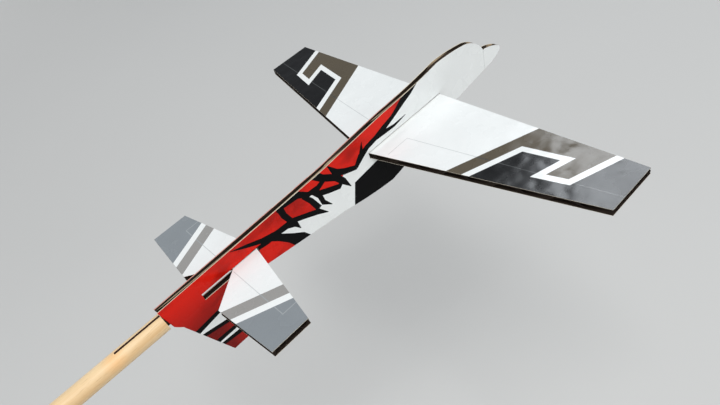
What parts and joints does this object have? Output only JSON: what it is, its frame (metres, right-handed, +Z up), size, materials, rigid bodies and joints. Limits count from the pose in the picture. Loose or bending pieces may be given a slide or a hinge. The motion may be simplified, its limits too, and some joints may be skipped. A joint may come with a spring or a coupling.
{
  "type": "card aeroplane on a stick",
  "caption": "Flat slotted card model of an aerobatic aeroplane, held belly up on a round wooden stick that grips a tongue at its tail.",
  "frame": {"origin": "centre of the stick's butt end, on the stick's axis", "axes": "+X along the stick towards the aeroplane's nose, +Y towards its left wing tip, +Z up, which is the belly side: the aeroplane is shown inverted, as it is held in the picture"},
  "size_m": [0.5933, 0.3, 0.0746],
  "materials": {
    "printed_paper": "gloss litho print in red, black, white and grey",
    "liner_board": "pale kraft liner",
    "fluted_board": "brown corrugated medium",
    "bare_wood": "bare sanded softwood dowel"
  },
  "bodies": {
    "stick": {"stick_handle": "bare_wood"},
    "fuselage": {"fuselage_print_right": "printed_paper", "fuselage_liner_right": "liner_board", "fuselage_print_left": "printed_paper", "fuselage_liner_left": "liner_board", "fuselage_flutes": "fluted_board"},
    "wing": {"wing_print_belly": "printed_paper", "wing_liner_belly": "liner_board", "wing_print_canopy": "printed_paper", "wing_liner_canopy": "liner_board", "wing_flutes": "fluted_board"},
    "stabiliser": {"stabiliser_print_belly": "printed_paper", "stabiliser_liner_belly": "liner_board", "stabiliser_print_canopy": "printed_paper", "stabiliser_liner_canopy": "liner_board", "stabiliser_flutes": "fluted_board"}
  },
  "joints": [
    {"name": "fuselage_pull", "type": "slide", "parent": "stick", "child": "fuselage", "axis": [1, 0, 0], "range_m": [0, 0.04]},
    {"name": "wing_push", "type": "slide", "parent": "fuselage", "child": "wing", "axis": [0, 1, 0], "range_m": [-0.155, 0.155]},
    {"name": "stabiliser_push", "type": "slide", "parent": "fuselage", "child": "stabiliser", "axis": [0, 1, 0], "range_m": [-0.07, 0.07]}
  ]
}
